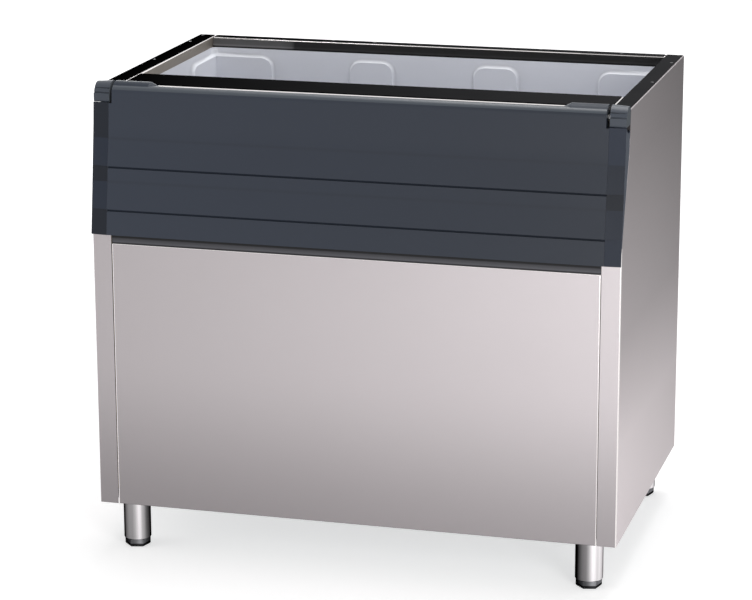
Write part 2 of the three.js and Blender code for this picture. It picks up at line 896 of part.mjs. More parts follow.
const doorShell = () =>
  cut(
    join(
      prismX(shellOutline(), -bodyEnd, bodyEnd),
      both((side) => prismX(shellEndOutline(), side * (earEnd - doorWall), side * (earEnd - gap))),
      cut(both((side) => knuckle(side, 0)), shellRoom()),
    ),
    both((side) => aroundHinge(knuckleRadius - knuckleWall, side * (knuckleInner + knuckleWall),
      side * (earEnd - knuckleSolid))),
    both((side) => aroundHinge(bushRadius + gap, side * (earEnd - bushLength - gap), side * (earEnd + past))),
    both(capRoom),
  );

addPiece(door, "door_shell", doorShell(), doorPlastic());

// Inner panel closing the rear of the door

const innerHalf = earEnd - doorWall - gap;
const knuckleRooms = both((side) => knuckle(side, gap));

function doorInnerPanel() {
  const [low, knee, high] = doorBack;
  const path = [[low[0], low[1] + gap], knee, [high[0] - gap, high[1] - roofSkin - panelTopClear]];
  return cut(prismX(band(path, -panelThick), -innerHalf, innerHalf), knuckleRooms);
}

addPiece(door, "door_inner_panel", doorInnerPanel(), doorPlastic());

// Insulation inside the door

function doorFoam() {
  const low = shellStep + 2 * panelThick;
  const high = caseHeight - foamTopDrop;
  const front = doorSkin + foamSkin;
  const rear = seatClear + panelThick + 2 * foamSkin;
  const outline = [
    [faceAt(low) + front, low],
    [faceAt(brow) + front, brow],
    [faceAt(high) + front, high],
    [seatAt(high, rear), high],
    [seatAt(seatKnee, rear), seatKnee],
    [seatAt(low, rear - foamSkin), low],
  ];
  return cut(prismX(outline, -innerHalf, innerHalf), knuckleRooms);
}

addPiece(door, "door_foam", doorFoam(), insulation());

// End pieces of the door, whose laps run out to nothing at the outer edge

const endTop = caseHeight - capBottomDrop - capEndGap;

function endPiece(side) {
  const back = [
    [faceAt(doorFoot) + lipThick + endLipExtra, doorFoot],
    [slantAt(lipTop), lipTop],
    [slantAt(seatKnee), seatKnee],
    [slantAt(endTop), endTop],
  ];
  const face = facePath(endLapRise, false, endTop).reverse();
  const isLapEdge = ([y, z]) => y < faceAt(z) - lap / 2;
  const sunk = face.map(([y, z]) => [faceAt(z) + endRecess - (isLapEdge([y, z]) ? touch / 2 : 0), z]);
  const inner = [...back, ...face];
  const outer = [...back, ...sunk];
  return side > 0
    ? loft(inner, endInner, outer, half, alongX)
    : loft(outer, -half, inner, -endInner, alongX);
}

function endRoom(side) {
  const low = shellStep + endRoomRise;
  const high = caseHeight - endRoomDrop;
  const wall = endRecess + doorWall + past;
  const outline = [
    [faceAt(low) + wall, low],
    [seatAt(seatKnee, seatClear + doorWall), seatKnee],
    [seatAt(high, seatClear + doorWall), high],
    [faceAt(high) + wall, high],
    [faceAt(brow) + wall, brow],
  ];
  return cut(
    prismX(outline, side * (endInner - past), side * (half - doorWall)),
    aroundHinge(endReach + doorWall + past, side * (endInner - 2 * past), side * half),
  );
}

const doorEnd = (side) =>
  cut(
    endPiece(side),
    endRoom(side),
    aroundHinge(endReach, side * (endInner - past), side * (half + past)),
  );

for (const [name, side] of Object.entries(sides)) {
  addPiece(door, `door_end_${name}`, doorEnd(side), doorEndPlastic());
}

// Hinge: a bush in each knuckle, a pin through it, and a fixed cap at the corner of the casing

const doorBush = () =>
  cut(cylinderX(bushRadius, -bushLength, -gap), cylinderX(pinRadius + gap, -bushLength - past, past));

const hingePin = () => cylinderX(pinRadius, -pinIn, capGap + pinOut);

// Shadow line across the cap's round front, at a drop below the rim
function capLine(drop, x0, x1) {
  const face = axisBack - Math.sqrt((knuckleRadius - capFall) ** 2 - (axisDrop - drop) ** 2);
  const z = caseHeight - drop;
  return box(x0, x1, 0, face + capLineDeep, z - capLineWide / 2, z + capLineWide / 2);
}

function hingeCap(side) {
  const inner = side * endInner;
  const outer = side * (half - capShort);
  const [before, after] = [inner - side * past, outer + side * past];
  const bottom = caseHeight - capBottomDrop;
  const top = caseHeight + knuckleRadius;
  const seat = [
    [capFront, bottom],
    [seatAt(bottom, gap), bottom],
    [seatAt(top, gap), top],
    [capFront, top],
  ];
  const block = join(
    coneX(knuckleRadius, knuckleRadius - capFall, inner, outer, axisBack, axisZ),
    box(inner, outer, capFront, axisBack, bottom, axisZ + capBlockRise),
    box(inner, outer, axisBack, caseDepth / 4, bottom, axisZ),
  );
  return cut(
    block.intersect(prismX(seat, inner, outer)).intersect(aroundHinge(capReach, before, after)),
    ...capLineDrops.map((drop) => capLine(drop, before, after)),
    aroundHinge(pinRadius + gap, before, side * (endInner + pinOut + gap)),
  );
}

for (const [name, side] of Object.entries(sides)) {
  const place = [side * earEnd, axisBack, axisZ];
  const turn = side > 0 ? 0 : Math.PI;
  addPiece(door, `door_bush_${name}`, doorBush(), bushPlastic(), ...place, turn);
  addPiece(casing, `hinge_pin_${name}`, hingePin(), pinSteel(), ...place, turn);
  addPiece(casing, `hinge_cap_${name}`, hingeCap(side), capPlastic());
}

// The whole bin, standing on the floor with its origin in the middle of the footprint

const group = new THREE.Group();
group.name = "ice_bin";
group.add(casing, tank, drain, legs, doorPivot);
group.position.set(0, -(caseDepth - doorProud) / 2, legHeight);

export default group;
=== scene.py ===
import json
import math

import bmesh
import bpy
from mathutils import Matrix, Vector


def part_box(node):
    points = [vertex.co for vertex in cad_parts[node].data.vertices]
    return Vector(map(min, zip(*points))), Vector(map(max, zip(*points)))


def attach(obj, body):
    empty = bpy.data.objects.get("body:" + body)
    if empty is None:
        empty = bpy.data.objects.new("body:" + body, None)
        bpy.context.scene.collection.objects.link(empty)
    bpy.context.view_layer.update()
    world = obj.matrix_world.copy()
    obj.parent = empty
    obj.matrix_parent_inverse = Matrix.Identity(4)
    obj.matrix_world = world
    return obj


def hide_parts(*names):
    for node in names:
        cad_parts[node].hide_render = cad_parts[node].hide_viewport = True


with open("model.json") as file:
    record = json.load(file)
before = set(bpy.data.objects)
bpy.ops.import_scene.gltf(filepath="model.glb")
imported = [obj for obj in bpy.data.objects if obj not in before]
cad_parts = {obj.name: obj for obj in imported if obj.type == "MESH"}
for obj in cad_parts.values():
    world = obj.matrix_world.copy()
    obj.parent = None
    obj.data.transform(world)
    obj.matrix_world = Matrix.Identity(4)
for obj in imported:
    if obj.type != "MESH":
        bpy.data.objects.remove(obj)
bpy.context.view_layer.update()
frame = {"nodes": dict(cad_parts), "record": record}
nodes = frame["nodes"]
slotOf = {part["node"]: part["material_slot"] for part in frame["record"]["subparts"]}
bodyOf = {}
for bodyName, members in frame["record"]["behaviour"]["bodies"].items():
    for member in members:
        bodyOf[member] = bodyName
print("stage: the packed bin is loaded")

# Camera where the photograph was taken from: a long lens, a little to the right and above the rim
cameraView = {
    "place": (1.72293, -6.37230, 2.31460),
    "pan": 0.27114,  # radians to the left
    "tilt": 0.25999,  # radians down
    "roll": -0.00315,
    "lens": 134.97,
    "sensor": 36.0,
    "farthest": 100,
}


def setCamera(view):
    data = bpy.data.cameras.new("studioCamera")
    data.lens = view["lens"]
    data.sensor_width = view["sensor"]
    data.sensor_fit = "HORIZONTAL"
    data.clip_end = view["farthest"]
    camera = bpy.data.objects.new("studioCamera", data)
    turn = Matrix.Rotation(view["pan"], 4, "Z")
    turn @= Matrix.Rotation(math.pi / 2 - view["tilt"], 4, "X")
    turn @= Matrix.Rotation(view["roll"], 4, "Z")
    camera.matrix_world = Matrix.Translation(view["place"]) @ turn
    bpy.context.collection.objects.link(camera)
    bpy.context.scene.camera = camera


setCamera(cameraView)
print("stage: camera set")


def colourOf(red, green, blue):
    # screen colour 0-255 to the linear colour a shader takes
    def linear(value):
        value /= 255
        return value / 12.92 if value <= 0.04045 else ((value + 0.055) / 1.055) ** 2.4

    return (linear(red), linear(green), linear(blue), 1.0)


def addNode(tree, kind, **values):
    # a node with its settings, and its entries by their names with _ for a space
    node = tree.nodes.new(kind)
    for name, value in values.items():
        if hasattr(node, name):
            setattr(node, name, value)
        else:
            node.inputs[name.replace("_", " ")].default_value = value
    return node


def join(tree, source, output, target, entry):
    tree.links.new(source.outputs[output], target.inputs[entry])


def addMath(tree, operation, *sources):
    # a source is a node with its output, or a plain number, and the result is a node with its output
    node = addNode(tree, "ShaderNodeMath", operation=operation)
    for entry, source in enumerate(sources):
        if isinstance(source, tuple):
            join(tree, *source, node, entry)
        else:
            node.inputs[entry].default_value = source
    return node, "Value"


def addSpan(tree, source, span, **values):
    # the share of a value's way over a span
    node = addNode(tree, "ShaderNodeMapRange", From_Min=span[0], From_Max=span[1], **values)
    join(tree, *source, node, "Value")
    return node


# Floor, bright room and lamps
studio = {
    "floorHalf": 14.0,
    "floorTone": (0.82, 0.82, 0.82, 1.0),
    "floorGlow": (0.52, 1.0),  # near the bin, far from it
    "floorFade": (1.2, 6.5),  # metres from the middle
    "white": (1, 1, 1, 1),
    "worldSeen": 1.0,  # for the camera and for reflections
    "worldLight": 0.34,  # for soft bounce light
}


def seenMask(tree):
    # 1 for what the camera, a reflection or glass sees, 0 for soft bounce light
    path = addNode(tree, "ShaderNodeLightPath")
    direct = addMath(tree, "MAXIMUM", (path, "Is Camera Ray"), (path, "Is Glossy Ray"))
    return addMath(tree, "MAXIMUM", direct, (path, "Is Transmission Ray"))


def makeWorld(values):
    world = bpy.data.worlds.new("softRoom")
    bpy.context.scene.world = world
    world.use_nodes = True
    tree = world.node_tree
    tree.nodes.clear()
    strength = addNode(tree, "ShaderNodeMapRange", To_Min=values["worldLight"], To_Max=values["worldSeen"])
    join(tree, *seenMask(tree), strength, "Value")
    background = addNode(tree, "ShaderNodeBackground", Color=values["white"])
    join(tree, strength, "Result", background, "Strength")
    output = addNode(tree, "ShaderNodeOutputWorld")
    join(tree, background, "Background", output, "Surface")


def makeFloorFinish(values):
    # matt grey that also glows, more so far from the bin, where the photograph's floor is plain white
    material = bpy.data.materials.new("paleFloor")
    material.use_nodes = True
    tree = material.node_tree
    tree.nodes.clear()
    diffuse = addNode(tree, "ShaderNodeBsdfDiffuse", Color=values["floorTone"])
    glow = addNode(tree, "ShaderNodeEmission", Color=values["white"])
    place = addNode(tree, "ShaderNodeTexCoord")
    distance = addNode(tree, "ShaderNodeVectorMath", operation="LENGTH")
    join(tree, place, "Object", distance, 0)
    near, far = values["floorGlow"]
    fade = addSpan(tree, (distance, "Value"), values["floorFade"], interpolation_type="SMOOTHSTEP",
                   To_Min=near, To_Max=far)
    strength = addMath(tree, "MULTIPLY", seenMask(tree), (fade, "Result"))
    join(tree, *strength, glow, "Strength")
    both = addNode(tree, "ShaderNodeAddShader")
    join(tree, diffuse, 0, both, 0)
    join(tree, glow, 0, both, 1)
    output = addNode(tree, "ShaderNodeOutputMaterial")
    join(tree, both, 0, output, "Surface")
    return material


def makeFloor(values):
    bm = bmesh.new()
    bmesh.ops.create_grid(bm, x_segments=1, y_segments=1, size=values["floorHalf"])
    mesh = bpy.data.meshes.new("studioFloor")
    bm.to_mesh(mesh)
    bm.free()
    mesh.materials.append(makeFloorFinish(values))
    floor = bpy.data.objects.new("studioFloor", mesh)
    bpy.context.collection.objects.link(floor)


lamps = {
    "keyRight": {"place": (3.1, -3.9, 1.7), "aim": (0.2, 0.0, 0.6), "size": (1.5, 2.6), "power": 75},
    "fillLeft": {"place": (-3.4, -1.6, 2.0), "aim": (0.0, 0.3, 0.6), "size": (1.4, 2.4), "power": 14},
    "topSoft": {"place": (0.2, 0.7, 3.6), "aim": (0.0, 0.2, 0.5), "size": (2.4, 2.0), "power": 62},
    "lowFront": {"place": (1.0, -3.5, 0.8), "aim": (0.4, -0.4, 0.6), "size": (1.0, 1.2), "power": 14},
    "backSoft": {"place": (-2.2, 3.8, 1.6), "aim": (-0.3, 0.3, 0.5), "size": (1.6, 1.6), "power": 18},
}


def makeLamp(name, values):
    data = bpy.data.lights.new(name, "AREA")
    data.energy = values["power"]
    data.shape = "RECTANGLE"
    data.size, data.size_y = values["size"]
    lamp = bpy.data.objects.new(name, data)
    lamp.location = values["place"]
    lamp.visible_camera = False
    aim = Vector(values["aim"]) - Vector(values["place"])
    lamp.rotation_euler = aim.to_track_quat("-Z", "Y").to_euler()
    bpy.context.collection.objects.link(lamp)


makeWorld(studio)
makeFloor(studio)
for lampName, lampValues in lamps.items():
    makeLamp(lampName, lampValues)
bpy.context.scene.view_settings.view_transform = "Standard"
print("stage: floor, world and lamps made")


# Shader groups that several finishes share
def newGroup(name, entries, results):
    group = bpy.data.node_groups.new(name, "ShaderNodeTree")
    for label, kind, value in entries:
        socket = group.interface.new_socket(label, in_out="INPUT", socket_type=kind)
        socket.default_value = value
    for label, kind in results:
        group.interface.new_socket(label, in_out="OUTPUT", socket_type=kind)
    inside = group.nodes.new("NodeGroupInput")
    outside = group.nodes.new("NodeGroupOutput")
    return group, inside, outside


def makeGrainGroup():
    # fine lines drawn out along one direction: brushed sheet, or the drag marks of a mould
    group, inside, outside = newGroup(
        "drawnGrain",
        [("Vector", "NodeSocketVector", (0, 0, 0)), ("Stretch", "NodeSocketVector", (1, 1, 1)),
         ("Fineness", "NodeSocketFloat", 400.0)],
        [("Value", "NodeSocketFloat")],
    )
    scaled = addNode(group, "ShaderNodeVectorMath", operation="MULTIPLY")
    join(group, inside, "Vector", scaled, 0)
    join(group, inside, "Stretch", scaled, 1)
    fine = addNode(group, "ShaderNodeTexNoise", noise_dimensions="3D", Detail=3.0, Roughness=0.6)
    join(group, scaled, "Vector", fine, "Vector")
    join(group, inside, "Fineness", fine, "Scale")
    join(group, fine, "Fac", outside, "Value")
    return group


noiseMiddle = 0.5


def makeToneGroup():
    # a colour that drifts a little over the surface and lightens on rounded edges: partly wear, partly a
    # painted highlight
    group, inside, outside = newGroup(
        "toneDrift",
        [("Vector", "NodeSocketVector", (0, 0, 0)), ("Colour", "NodeSocketColor", (0.5, 0.5, 0.5, 1)),
         ("Scale", "NodeSocketFloat", 3.0), ("Depth", "NodeSocketFloat", 0.06),
         ("Grain", "NodeSocketFloat", 0.5), ("Grain Depth", "NodeSocketFloat", 0.03),
         ("Edge", "NodeSocketFloat", 0.0), ("Edge Wear And Highlight", "NodeSocketFloat", 0.1)],
        [("Colour", "NodeSocketColor")],
    )
    cloud = addNode(group, "ShaderNodeTexNoise", noise_dimensions="3D", Detail=3.0, Roughness=0.55)
    join(group, inside, "Vector", cloud, "Vector")
    join(group, inside, "Scale", cloud, "Scale")
    cloudCentred = addMath(group, "SUBTRACT", (cloud, "Fac"), noiseMiddle)
    drift = addMath(group, "MULTIPLY", cloudCentred, (inside, "Depth"))
    grainCentred = addMath(group, "SUBTRACT", (inside, "Grain"), noiseMiddle)
    grain = addMath(group, "MULTIPLY", grainCentred, (inside, "Grain Depth"))
    lift = addMath(group, "MULTIPLY", (inside, "Edge"), (inside, "Edge Wear And Highlight"))
    change = addMath(group, "ADD", addMath(group, "ADD", drift, grain), lift)
    factor = addMath(group, "ADD", change, 1.0)
    tinted = addNode(group, "ShaderNodeVectorMath", operation="SCALE")
    join(group, inside, "Colour", tinted, 0)
    join(group, *factor, tinted, "Scale")
    join(group, tinted, "Vector", outside, "Colour")
    return group


# Heights and widths, in metres, over which the painted reflection and shade of a piece change slowly
paintedLightSpans = {
    "lower": (0.10, 0.50),
    "upper": (0.55, 1.12),
    "across": (-0.62, 0.62),
    "depth": (-0.39, 0.40),
    "height": (0.1, 1.1),
}
paintedLightEntries = ("Foot", "Middle", "Head", "Left", "Right")


def makePaintedLightGroup():
    # painted reflection and shade: a slow change of tone over a piece's height and width
    amounts = [(label, "NodeSocketFloat", 1.0) for label in paintedLightEntries]
    group, inside, outside = newGroup(
        "paintedLightSpread",
        [("Vector", "NodeSocketVector", (0, 0, 0))] + amounts,
        [("Tone", "NodeSocketFloat")],
    )
    axes = addNode(group, "ShaderNodeSeparateXYZ")
    join(group, inside, "Vector", axes, "Vector")
    lower = addSpan(group, (axes, "Z"), paintedLightSpans["lower"], interpolation_type="SMOOTHSTEP")
    join(group, inside, "Foot", lower, "To Min")
    join(group, inside, "Middle", lower, "To Max")
    upper = addSpan(group, (axes, "Z"), paintedLightSpans["upper"], interpolation_type="SMOOTHSTEP", To_Min=1.0)
    join(group, inside, "Head", upper, "To Max")
    across = addSpan(group, (axes, "X"), paintedLightSpans["across"])
    join(group, inside, "Left", across, "To Min")
    join(group, inside, "Right", across, "To Max")
    height = addMath(group, "MULTIPLY", (lower, "Result"), (upper, "Result"))
    whole = addMath(group, "MULTIPLY", height, (across, "Result"))
    join(group, *whole, outside, "Tone")
    return group


grainGroup = makeGrainGroup()
paintedLightGroup = makePaintedLightGroup()
toneGroup = makeToneGroup()
print("stage: shader groups made")

# Lines across the door, from the top: crease, lap, crease, lap; and the painted shade of a crease, a soft
# dark line
doorLines = (1.002, 0.938, 0.902, 0.838)
creaseShade = {"tone": 0.84, "core": 0.001, "reach": 0.005, "from": 0.7, "to": 1.13}


# painted shade: soft dark lines along the door's creases
def paintedCreaseShade():
    tones = [(creaseShade["from"], 1.0)]
    for line in sorted(doorLines[0::2]):
        tones += [(line - creaseShade["reach"], 1.0), (line - creaseShade["core"], creaseShade["tone"]),
                  (line + creaseShade["core"], creaseShade["tone"]), (line + creaseShade["reach"], 1.0)]
    return tones + [(creaseShade["to"], 1.0)]


# Finishes: screen colour, then how the surface is worked and the light and shade painted into its colour.
# Sheet tones are a painted reflection and shade, with amounts for foot, middle, head, left and right; climb
# pairs heights with tones, along does so from left to right, and deep darkens towards the rear as a painted
# reflection
finishes = {
    # its sheet tones are a painted reflection: darker at the foot, head and left, lighter to the right
    "brushed_steel": {"colour": (177, 171, 173), "metallic": 1.0, "roughness": 0.4, "edgeTint": 0.4,
                      "stretch": (0.02, 0.02, 1.0), "fineness": 900.0, "grainDepth": 0.05, "bump": 0.05,
                      "driftScale": 1.6, "drift": 0.05, "edgeWearAndHighlight": 0.15, "anisotropy": 0.6,
                      "sheet": (0.67, 1.0, 0.885, 0.87, 1.16)},
    "galvanised_steel": {"colour": (168, 171, 173), "metallic": 0.9, "roughness": 0.45,
                         "fineness": 60.0, "grainDepth": 0.16, "bump": 0.04, "driftScale": 9.0,
                         "drift": 0.12},
    # its sheet tones are a painted sheen: nearly black on the left, lighter to the right
    "rim_tape": {"colour": (33, 33, 34), "roughness": 0.9, "specular": 0.0,
                 "fineness": 700.0, "grainDepth": 0.2, "bump": 0.1, "driftScale": 12.0, "drift": 0.3,
                 "edgeWearAndHighlight": 0.5, "sheet": (1.0, 1.0, 1.0, 0.04, 1.9)},
    # its sheet tones are painted shade, darker to the left and lighter to the right
    "tank_plastic": {"colour": (236, 238, 245), "roughness": 0.4, "specular": 0.4,
                     "fineness": 300.0, "grainDepth": 0.02, "bump": 0.05, "driftScale": 4.0, "drift": 0.04,
                     "edgeWearAndHighlight": 0.08, "sheet": (1.0, 1.0, 1.0, 0.94, 1.06)},
    "foam": {"colour": (226, 205, 150), "roughness": 0.85,
             "fineness": 260.0, "grainDepth": 0.2, "bump": 0.4, "driftScale": 6.0, "drift": 0.1},
    # its climb paints the shadow under the door's lip: dark at the top, lighter lower down, with a bright
    # line and dark bands near its foot
    "sill_plastic": {"colour": (92, 92, 97), "roughness": 0.45, "specular": 0.2,
                     "fineness": 400.0, "grainDepth": 0.08, "bump": 0.06, "driftScale": 5.0, "drift": 0.08,
                     "edgeWearAndHighlight": 0.2,
                     "climb": [(0.7550, 0.25), (0.7585, 0.3), (0.7590, 1.0), (0.7680, 0.55), (0.7705, 0.12),
                               (0.7880, 0.1), (0.7950, 0.5)]},
    # its sheet tones are painted shade, lighter at the head and darker to the right, and its climb paints
    # dark crease lines
    "door_plastic": {"colour": (38, 45, 58), "roughness": 0.36, "specular": 0.4,
                     "fineness": 800.0, "grainDepth": 0.06, "bump": 0.06, "driftScale": 3.0, "drift": 0.06,
                     "edgeWearAndHighlight": 0.25, "sheet": (1.0, 1.0, 1.0, 1.12, 0.66), "climb": paintedCreaseShade()},
    # the end pieces take painted shade band by band
    "door_end_plastic": {"colour": (31, 37, 49), "roughness": 0.45, "specular": 0.25,
                         "fineness": 800.0, "grainDepth": 0.06, "bump": 0.06, "driftScale": 3.0,
                         "drift": 0.06, "edgeWearAndHighlight": 0.2, "paintedBandShade": True},
    "cap_plastic": {"colour": (58, 64, 74), "roughness": 0.38, "specular": 0.4,
                    "fineness": 800.0, "grainDepth": 0.06, "bump": 0.06, "driftScale": 8.0, "drift": 0.06,
                    "edgeWearAndHighlight": 0.25},
    "bush_plastic": {"colour": (220, 220, 214), "roughness": 0.4,
                     "fineness": 500.0, "grainDepth": 0.04, "bump": 0.03, "driftScale": 20.0, "drift": 0.05},
    "pin_steel": {"colour": (190, 190, 192), "metallic": 1.0, "roughness": 0.25, "stretch": (1.0, 0.05, 0.05),
                  "fineness": 900.0, "grainDepth": 0.08, "bump": 0.03, "driftScale": 20.0, "drift": 0.06},
    "buffer_rubber": {"colour": (26, 26, 27), "roughness": 0.75, "specular": 0.25,
                      "fineness": 500.0, "grainDepth": 0.1, "bump": 0.1, "driftScale": 30.0, "drift": 0.1},
    "drain_plastic": {"colour": (34, 34, 36), "roughness": 0.4,
                      "fineness": 400.0, "grainDepth": 0.08, "bump": 0.05, "driftScale": 12.0, "drift": 0.08,
                      "edgeWearAndHighlight": 0.2},
    "strainer_plastic": {"colour": (200, 202, 202), "roughness": 0.4,
                         "fineness": 400.0, "grainDepth": 0.04, "bump": 0.03, "driftScale": 14.0,
                         "drift": 0.05},
    "leg_fixing_steel": {"colour": (176, 178, 180), "metallic": 1.0, "roughness": 0.4,
                         "fineness": 200.0, "grainDepth": 0.12, "bump": 0.05, "driftScale": 12.0,
                         "drift": 0.1},
    "leg_steel": {"colour": (202, 198, 200), "metallic": 1.0, "roughness": 0.13, "edgeTint": 0.05,
                  "stretch": (0.05, 0.05, 1.0), "fineness": 900.0, "grainDepth": 0.05, "bump": 0.03,
                  "driftScale": 9.0, "drift": 0.05, "edgeWearAndHighlight": 0.1},
    "insert_plastic": {"colour": (30, 30, 32), "roughness": 0.55, "specular": 0.25,
                       "fineness": 400.0, "grainDepth": 0.08, "bump": 0.05, "driftScale": 20.0, "drift": 0.1},
    "foot_steel": {"colour": (128, 128, 131), "metallic": 1.0, "roughness": 0.3, "edgeTint": 0.2,
                   "stretch": (0.1, 0.1, 1.0), "fineness": 700.0, "grainDepth": 0.08, "bump": 0.04,
                   "driftScale": 16.0, "drift": 0.08, "edgeWearAndHighlight": 0.15,
                   "climb": [(0.0030, 0.1), (0.0075, 0.15), (0.0085, 1.0), (0.0180, 1.0), (0.0195, 0.3),
                             (0.0210, 0.3)]},
    "foot_plastic": {"colour": (24, 24, 25), "roughness": 0.55, "specular": 0.2,
                     "fineness": 500.0, "grainDepth": 0.1, "bump": 0.06, "driftScale": 25.0, "drift": 0.12},
    "screw_steel": {"colour": (66, 66, 68), "metallic": 1.0, "roughness": 0.35,
                    "fineness": 900.0, "grainDepth": 0.1, "bump": 0.04, "driftScale": 40.0, "drift": 0.1},
}

# Finishes of single faces: the finish each one starts from, and what it changes
faceFinishes = {
    # the sides: a bright copy of the steel whose climb and rear darkening are a painted reflection, darker at
    # the top and towards the rear
    "side_steel": ("brushed_steel", {
        "colour": (240, 232, 234), "sheet": None, "deep": (0.78, 0.62),
        "climb": [(0.1, 0.9), (0.2, 0.88), (0.35, 0.84), (0.6, 0.53), (0.87, 0.39), (1.0, 0.32),
                  (1.12, 0.29)]}),
    # the inner skirt: a tan copy of the steel, a painted reflection
    "skirt_steel_painted_reflection": ("brushed_steel", {
        "colour": (176, 169, 160), "roughness": 0.5, "anisotropy": 0.0, "sheet": None}),
    # the lap grooves: a darker copy of the door plastic, painted shade
    "groove_painted_shade": ("door_plastic", {"colour": (36, 42, 53), "specular": 0.1, "climb": None}),
    # the rear lip: a dark copy of the tape on the steel lip, painted shade, lighter at its left end; its
    # climb paints a highlight band and a dark shadow line at its foot
    "lip_painted_shade": ("rim_tape", {
        "colour": (120, 119, 119), "roughness": 0.5, "specular": 0.2, "drift": 0.05, "grainDepth": 0.05,
        "sheet": None,
        "along": [(-0.62, 1.0), (-0.40, 1.0), (-0.37, 0.75), (-0.365, 0.17), (0.62, 0.17)],
        "climb": [(1.0900, 0.1), (1.0940, 0.12), (1.0955, 0.9), (1.0980, 1.0), (1.1005, 0.6),
                  (1.1180, 0.5)]}),
    "shade_steel": ("brushed_steel", {"colour": (112, 109, 110), "anisotropy": 0.0, "sheet": None}),
    # the door's up-facing shoulder: a lighter copy of the door plastic, painted light from above
    "shoulder_painted_light": ("door_plastic", {
        "colour": (66, 72, 80), "climb": None, "sheet": (1.0, 1.0, 1.0, 1.05, 0.95)}),
    "knuckle_plastic": ("door_plastic", {
        "colour": (48, 54, 64), "specular": 0.12, "climb": None, "sheet": None}),
    # faces that look sideways on the caps and door ends: lighter copies of their plastic, painted light
    "cap_side": ("cap_plastic", {"colour": (98, 103, 108), "roughness": 0.6, "specular": 0.0}),
    "end_side": ("door_end_plastic", {
        "colour": (98, 103, 112), "roughness": 0.6, "specular": 0.0, "paintedBandShade": False}),
    # bends and rim edges: brighter, smoother copies of the steel, real polish with painted highlight lines
    "rim_steel": ("brushed_steel", {
        "colour": (236, 232, 231), "roughness": 0.14, "edgeTint": 1.0, "anisotropy": 0.0, "bump": 0.02,
        "sheet": None}),
    # the front posts: darkened above 1.06 m, painted shade under the hinge caps
    "post_steel_painted_shade": ("brushed_steel", {"climb": [(0.1, 1.0), (1.0450, 1.0), (1.0600, 0.1), (1.12, 0.1)]}),
    # folds facing right: a less bright copy of the same painted highlight
    "fold_steel_painted_highlight": ("rim_steel", {"colour": (212, 208, 207), "roughness": 0.2}),
}
for finishName, (startName, changes) in faceFinishes.items():
    finishes[finishName] = dict(finishes[startName], **changes)

# Painted reflection of the room on the bright tubes and feet, in upright bands: place across the tube, then
# screen level 0-255
legPaintedReflections = {
    "across": (0.9635, 0.2679),  # sideways as the camera sees it
    "tubeColour": (255, 251, 253),
    "tubeShare": 1.0,
    "footShare": 1.5,
    "left": [(-1.0, 60), (-0.9, 76), (-0.76, 108), (-0.55, 138), (-0.28, 146), (-0.07, 182), (0.07, 218),
             (0.2, 246), (0.3, 236), (0.42, 190), (0.56, 165), (0.7, 110), (0.83, 80), (1.0, 70)],
    "right": [(-1.0, 16), (-0.88, 30), (-0.72, 80), (-0.55, 112), (-0.28, 130), (-0.1, 172), (0.07, 228),
              (0.18, 252), (0.32, 250), (0.44, 220), (0.55, 212), (0.65, 230), (0.85, 223), (1.0, 226)],
}


def paintedReflectionAmounts(side, share):
    # screen levels of the painted reflection bands to the amounts that scale the colour
    return [(place, colourOf(level, level, level)[0] * share) for place, level in legPaintedReflections[side]]


def addLegFinishes(corner):
    low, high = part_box("leg_tube_" + corner)
    side = corner.split("_")[1]
    around = {
        "centre": ((low[0] + high[0]) / 2, (low[1] + high[1]) / 2),
        "across": legPaintedReflections["across"],
        "radius": (high[0] - low[0]) / 2,
    }
    tubePaintedReflection = dict(around, tones=paintedReflectionAmounts(side, legPaintedReflections["tubeShare"]))
    footPaintedReflection = dict(around, tones=paintedReflectionAmounts(side, legPaintedReflections["footShare"]))
    tubeColour = legPaintedReflections["tubeColour"]
    finishes["leg_tube_" + corner] = dict(finishes["leg_steel"], colour=tubeColour, around=tubePaintedReflection)
    finishes["leg_foot_" + corner] = dict(finishes["foot_steel"], around=footPaintedReflection)


for corner in ("front_left", "front_right", "rear_left", "rear_right"):
    addLegFinishes(corner)

# What all finishes share
surface = {
    "shift": (0.013, 0.007, 0.011),  # moves the noise pattern off the bin's middle
    "roughSwing": 0.04,
    "reliefHeight": 0.0004,
    "brushTurn": 0.25,
    "brushAxis": {"X": 0.02, "Y": 0.01, "Z": 1.0},
}


def scaleBase(tree, shader, source, output):
    # multiply the colour that reaches the shader by a further value
    scaled = addNode(tree, "ShaderNodeVectorMath", operation="SCALE")
    tree.links.new(shader.inputs["Base Color"].links[0].from_socket, scaled.inputs[0])
    join(tree, source, output, scaled, "Scale")
    join(tree, scaled, "Vector", shader, "Base Color")


def makeRamp(tree, source, points):
    # tone over a span of values: pairs of value and amount
    low, high = points[0][0], points[-1][0]
    ramp = addNode(tree, "ShaderNodeValToRGB")
    join(tree, addSpan(tree, source, (low, high)), "Result", ramp, "Fac")
    steps = ramp.color_ramp.elements
    for index, (value, amount) in enumerate(points):
        share = (value - low) / (high - low)
        inner = 0 < index < len(points) - 1
        step = steps.new(share) if inner else steps[-1 if index else 0]
        step.position = share
        step.color = (amount, amount, amount, 1.0)
    return ramp


def addGroup(tree, group, place):
    node = addNode(tree, "ShaderNodeGroup")
    node.node_tree = group
    join(tree, *place, node, "Vector")
    return node


def addPaintedLight(tree, shader, place, amounts):
    sheet = addGroup(tree, paintedLightGroup, (place, "Object"))
    for entry, amount in zip(paintedLightEntries, amounts):
        sheet.inputs[entry].default_value = amount
    scaleBase(tree, shader, sheet, "Tone")


